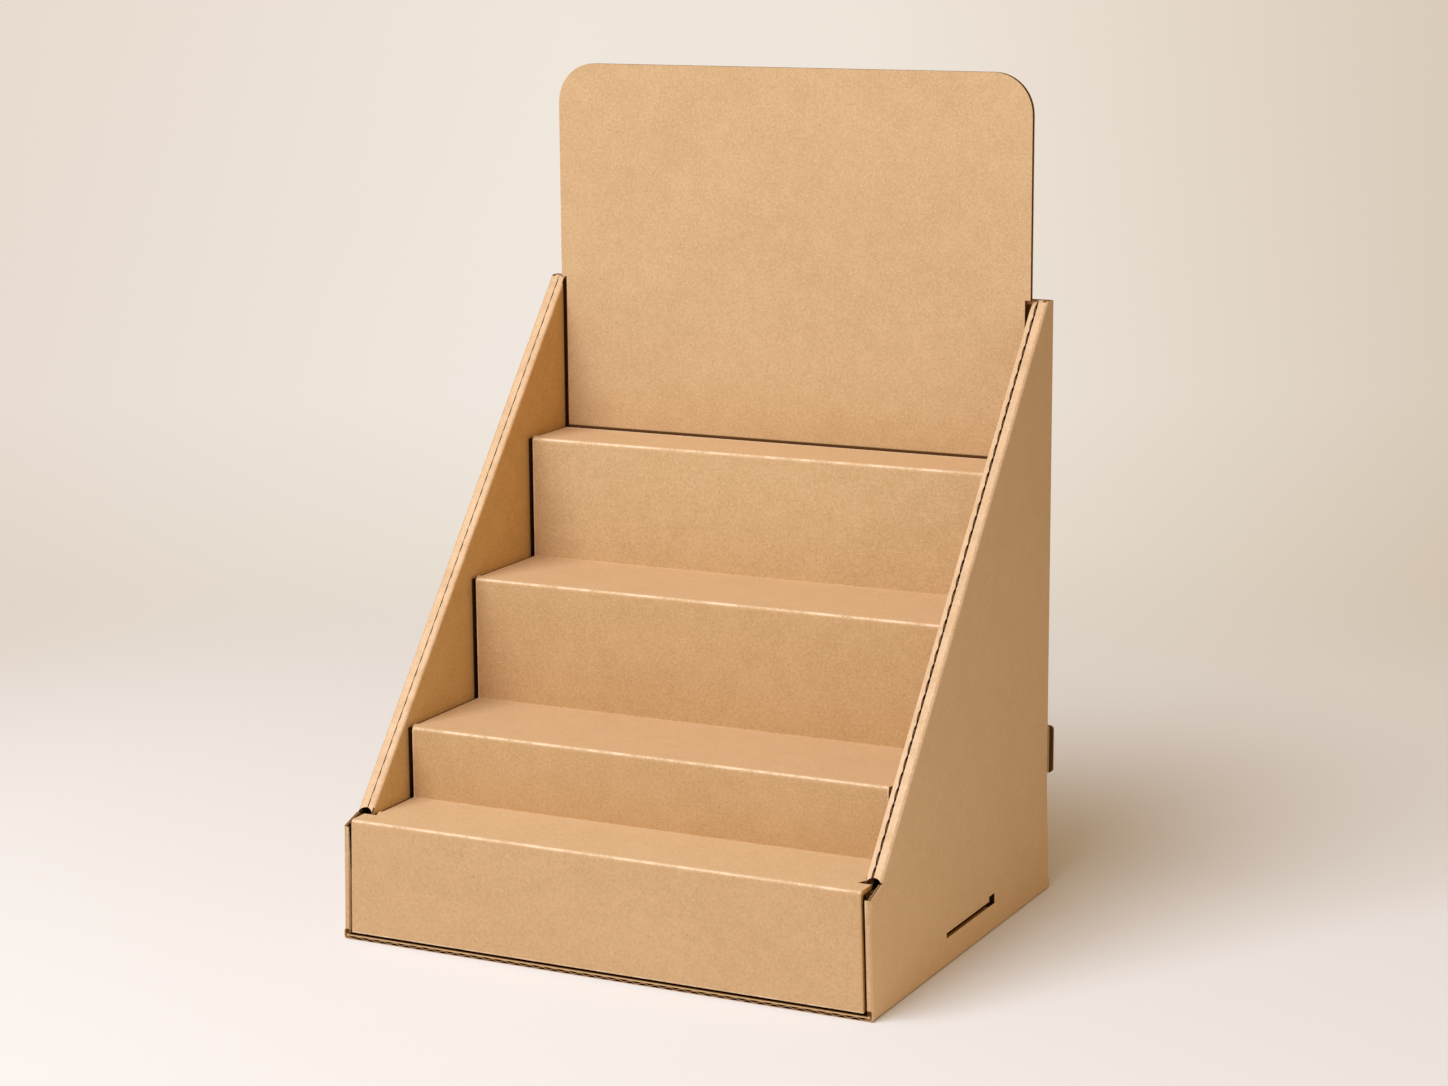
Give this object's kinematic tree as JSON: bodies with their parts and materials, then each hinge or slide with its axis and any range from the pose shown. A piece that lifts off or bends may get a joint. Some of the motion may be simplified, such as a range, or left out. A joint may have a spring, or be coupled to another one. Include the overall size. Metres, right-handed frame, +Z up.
{
  "type": "counter display stand",
  "caption": "Stepped corrugated board display stand with slanted double side walls, treads for goods and a tall plain back card.",
  "frame": {"origin": "centre of the footprint, on the surface that the stand rests on", "axes": "+Z up, +Y towards the back card, +X to the right seen from the front"},
  "size_m": [0.3038, 0.243, 0.444],
  "materials": {
    "kraft_board": "matte kraft liner over brown fluting"
  },
  "bodies": {
    "root": {"shell": "kraft_board", "step_insert": "kraft_board", "header_card": "kraft_board"}
  },
  "joints": []
}
